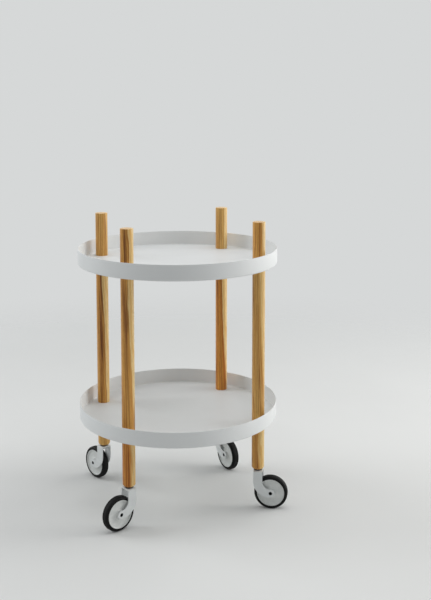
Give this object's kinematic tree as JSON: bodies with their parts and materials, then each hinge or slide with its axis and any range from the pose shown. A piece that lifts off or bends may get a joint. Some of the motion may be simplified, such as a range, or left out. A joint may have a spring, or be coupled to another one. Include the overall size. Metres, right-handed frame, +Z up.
{
  "type": "serving trolley",
  "caption": "Round serving trolley: rimmed steel trays held between turned wooden posts that roll on swivel casters.",
  "frame": {"origin": "on the floor, under the common centre of the round trays", "axes": "+Z up through the trays' centre; +X along the longer spacing of the posts, to the right; -Y is the front"},
  "size_m": [0.45, 0.45, 0.6485],
  "materials": {
    "powder_coat": "fine satin off-white powder coat on pressed steel sheet",
    "oak": "oiled oak dowel, straight grain along the post, satin",
    "fork_lacquer": "satin pale grey lacquer on a pressed steel fork",
    "wheel_plastic": "moulded pale grey plastic disc, fine satin",
    "tyre_rubber": "smooth black rubber, matte",
    "black_plastic": "moulded black plastic collar",
    "bush_plastic": "natural nylon plain bearing",
    "zinc_steel": "zinc-plated steel",
    "insert_brass": "turned brass insert"
  },
  "bodies": {
    "trolley_frame": {"upper_tray": "powder_coat", "lower_tray": "powder_coat", "upper_joint_studs": "zinc_steel", "lower_joint_studs": "zinc_steel", "upper_joint_inserts": "insert_brass", "lower_joint_inserts": "insert_brass", "caster_inserts": "insert_brass", "top_post_front_left": "oak", "middle_post_front_left": "oak", "lower_post_front_left": "oak", "caster_stem_front_left": "zinc_steel", "stem_collar_front_left": "black_plastic", "top_post_front_right": "oak", "middle_post_front_right": "oak", "lower_post_front_right": "oak", "caster_stem_front_right": "zinc_steel", "stem_collar_front_right": "black_plastic", "top_post_back_left": "oak", "middle_post_back_left": "oak", "lower_post_back_left": "oak", "caster_stem_back_left": "zinc_steel", "stem_collar_back_left": "black_plastic", "top_post_back_right": "oak", "middle_post_back_right": "oak", "lower_post_back_right": "oak", "caster_stem_back_right": "zinc_steel", "stem_collar_back_right": "black_plastic"},
    "caster_fork_front_left": {"fork_front_left": "fork_lacquer", "swivel_bush_front_left": "bush_plastic", "axle_front_left": "zinc_steel", "wheel_spacers_front_left": "zinc_steel"},
    "caster_wheel_front_left": {"wheel_core_front_left": "wheel_plastic", "wheel_bush_front_left": "bush_plastic", "tyre_front_left": "tyre_rubber"},
    "caster_fork_front_right": {"fork_front_right": "fork_lacquer", "swivel_bush_front_right": "bush_plastic", "axle_front_right": "zinc_steel", "wheel_spacers_front_right": "zinc_steel"},
    "caster_wheel_front_right": {"wheel_core_front_right": "wheel_plastic", "wheel_bush_front_right": "bush_plastic", "tyre_front_right": "tyre_rubber"},
    "caster_fork_back_left": {"fork_back_left": "fork_lacquer", "swivel_bush_back_left": "bush_plastic", "axle_back_left": "zinc_steel", "wheel_spacers_back_left": "zinc_steel"},
    "caster_wheel_back_left": {"wheel_core_back_left": "wheel_plastic", "wheel_bush_back_left": "bush_plastic", "tyre_back_left": "tyre_rubber"},
    "caster_fork_back_right": {"fork_back_right": "fork_lacquer", "swivel_bush_back_right": "bush_plastic", "axle_back_right": "zinc_steel", "wheel_spacers_back_right": "zinc_steel"},
    "caster_wheel_back_right": {"wheel_core_back_right": "wheel_plastic", "wheel_bush_back_right": "bush_plastic", "tyre_back_right": "tyre_rubber"}
  },
  "joints": [
    {"name": "swivel_front_left", "type": "hinge", "parent": "trolley_frame", "child": "caster_fork_front_left", "pos_m": [-0.14812, -0.12606, 0.087], "axis": [0, 0, 1], "continuous": true},
    {"name": "wheel_spin_front_left", "type": "hinge", "parent": "caster_fork_front_left", "child": "caster_wheel_front_left", "pos_m": [-0.17555, -0.13821, 0.0375], "axis": [-0.4051, 0.9143, 0], "continuous": true},
    {"name": "swivel_front_right", "type": "hinge", "parent": "trolley_frame", "child": "caster_fork_front_right", "pos_m": [0.14812, -0.12606, 0.087], "axis": [0, 0, 1], "continuous": true},
    {"name": "wheel_spin_front_right", "type": "hinge", "parent": "caster_fork_front_right", "child": "caster_wheel_front_right", "pos_m": [0.17451, -0.14033, 0.0375], "axis": [-0.4756, -0.8796, 0], "continuous": true},
    {"name": "swivel_back_left", "type": "hinge", "parent": "trolley_frame", "child": "caster_fork_back_left", "pos_m": [-0.14812, 0.12606, 0.087], "axis": [0, 0, 1], "continuous": true},
    {"name": "wheel_spin_back_left", "type": "hinge", "parent": "caster_fork_back_left", "child": "caster_wheel_back_left", "pos_m": [-0.16065, 0.15332, 0.0375], "axis": [0.9085, 0.4179, 0], "continuous": true},
    {"name": "swivel_back_right", "type": "hinge", "parent": "trolley_frame", "child": "caster_fork_back_right", "pos_m": [0.14812, 0.12606, 0.087], "axis": [0, 0, 1], "continuous": true},
    {"name": "wheel_spin_back_right", "type": "hinge", "parent": "caster_fork_back_right", "child": "caster_wheel_back_right", "pos_m": [0.15578, 0.09706, 0.0375], "axis": [-0.9668, -0.2554, 0], "continuous": true}
  ]
}
